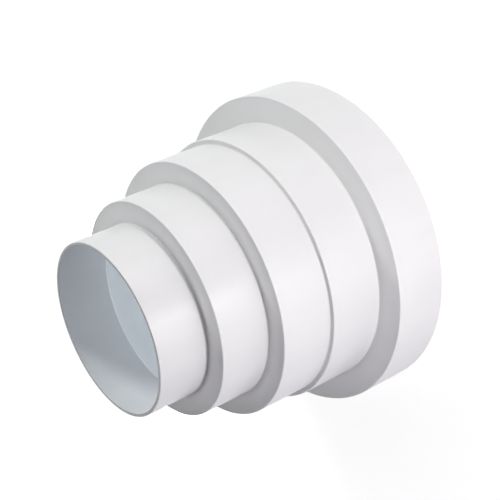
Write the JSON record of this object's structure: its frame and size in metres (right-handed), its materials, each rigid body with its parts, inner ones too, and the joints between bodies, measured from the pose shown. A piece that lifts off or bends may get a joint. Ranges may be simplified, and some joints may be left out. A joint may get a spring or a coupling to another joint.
{
  "type": "duct reducer",
  "caption": "Round plastic duct reducer: a thin-walled stepped tube, open right through, whose drafted spigots grow from a small end to a large end and are joined by flat shoulders.",
  "frame": {"origin": "centre of the large rim's plane, on which the reducer stands", "axes": "+Z along the axis of the duct, from the large end up to the small end; X and Y are any two directions across it, because the shell is round"},
  "size_m": [0.1486, 0.1486, 0.1235],
  "materials": {
    "white_plastic": "satin moulded white plastic, slightly glossy"
  },
  "bodies": {
    "root": {"reducer_shell": "white_plastic"}
  },
  "joints": []
}
